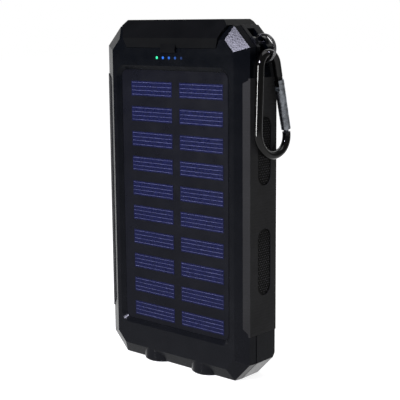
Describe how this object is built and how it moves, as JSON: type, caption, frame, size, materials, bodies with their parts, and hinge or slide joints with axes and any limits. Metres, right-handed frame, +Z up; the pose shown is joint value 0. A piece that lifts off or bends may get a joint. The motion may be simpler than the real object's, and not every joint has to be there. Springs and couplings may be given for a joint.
{
  "type": "solar phone charger",
  "caption": "Rugged octagonal power bank with a framed solar panel, ribbed side grips, a flap over the charging ports, end torches and a carabiner on a split ring.",
  "frame": {"origin": "centre of the flat bottom that the charger stands on, on the mid-plane of its width and depth", "axes": "+Z up along the long side, X across the panel, +Y from the panel face towards the back"},
  "size_m": [0.0827, 0.0255, 0.1443],
  "materials": {
    "shell_plastic": "fine satin moulded ABS",
    "seal_rubber": "soft matt silicone",
    "screw_steel": "black zinc",
    "cover_rubber": "matt moulded rubber",
    "grip_rubber": "matt ribbed rubber",
    "pad_rubber": "dotted rubber",
    "button_plastic": "satin",
    "panel_resin": "clear epoxy over a dark board",
    "silicon": "dark blue silicon",
    "foam_tape": "closed-cell foam",
    "green_lens": "lit light guide",
    "blue_lens": "lit light guide",
    "led_body": "moulded",
    "circuit_board": "solder mask",
    "clear_lens": "clear polycarbonate",
    "reflector": "vacuum metallised",
    "socket_metal": "nickel plated",
    "socket_plastic": "moulded",
    "ferrite": "sintered ferrite",
    "capacitor_can": "drawn can",
    "chip_resin": "moulded resin",
    "pouch_foil": "laminated foil pouch",
    "switch_body": "moulded",
    "wire_sheath": "flexible insulation",
    "pin_steel": "bright",
    "ring_steel": "nickel plated",
    "clip_enamel": "gloss black anodised",
    "gate_metal": "bright, lightly brushed"
  },
  "bodies": {
    "case": {"battery_foam": "foam_tape", "battery_leads": "wire_sheath", "battery_light_guides": "blue_lens", "battery_pouch_front": "pouch_foil", "battery_pouch_rear": "pouch_foil", "boost_inductors": "ferrite", "charge_light_guide": "green_lens", "controller_chips": "chip_resin", "filter_capacitors": "capacitor_can", "front_shell": "shell_plastic", "housing_screws": "screw_steel", "indicator_board": "circuit_board", "indicator_leds": "led_body", "lanyard_pin": "pin_steel", "left_grip": "grip_rubber", "left_grip_pads": "pad_rubber", "main_board": "circuit_board", "micro_usb_shell": "socket_metal", "micro_usb_tongue": "socket_plastic", "panel_leads": "wire_sheath", "panel_tape": "foam_tape", "port_cover_strap": "cover_rubber", "rear_shell": "shell_plastic", "right_grip": "grip_rubber", "right_grip_pads": "pad_rubber", "shell_gasket": "seal_rubber", "solar_board": "panel_resin", "solar_cells": "silicon", "switch_board": "circuit_board", "tact_switch": "switch_body", "torch_bezel_left": "shell_plastic", "torch_bezel_right": "shell_plastic", "torch_board": "circuit_board", "torch_leds": "led_body", "torch_lens_left": "clear_lens", "torch_lens_right": "clear_lens", "torch_reflector_left": "reflector", "torch_reflector_right": "reflector", "usb_left_shell": "socket_metal", "usb_left_tongue": "socket_plastic", "usb_right_shell": "socket_metal", "usb_right_tongue": "socket_plastic"},
    "port_cover": {"port_cover": "cover_rubber"},
    "power_button": {"power_button": "button_plastic"},
    "ring": {"split_ring": "ring_steel"},
    "carabiner": {"carabiner_body": "clip_enamel", "gate_rivet": "pin_steel"},
    "gate": {"carabiner_gate": "gate_metal", "gate_spring": "pin_steel"}
  },
  "joints": [
    {"name": "cover_hinge", "type": "hinge", "parent": "case", "child": "port_cover", "pos_m": [0, 0.01, 0.141], "axis": [-1, 0, 0], "range_deg": [0, 110]},
    {"name": "button_press", "type": "slide", "parent": "case", "child": "power_button", "axis": [1, 0, 0], "range_m": [0, 0.0006], "stiffness_N_per_m": 2500, "springref_m": -0.0002},
    {"name": "ring_swing", "type": "hinge", "parent": "case", "child": "ring", "pos_m": [0.035, 0.0015, 0.135], "axis": [0, -1, 0], "range_deg": [0, 80]},
    {"name": "carabiner_swing", "type": "hinge", "parent": "ring", "child": "carabiner", "pos_m": [0.041, 0.0015, 0.12848], "axis": [1, 0, 0], "range_deg": [-35, 35]},
    {"name": "gate_open", "type": "hinge", "parent": "carabiner", "child": "gate", "pos_m": [0.041, 0.00802, 0.1194], "axis": [-1, 0, 0], "range_deg": [0, 32], "stiffness_Nm_per_rad": 0.02, "springref_deg": -22.92}
  ]
}
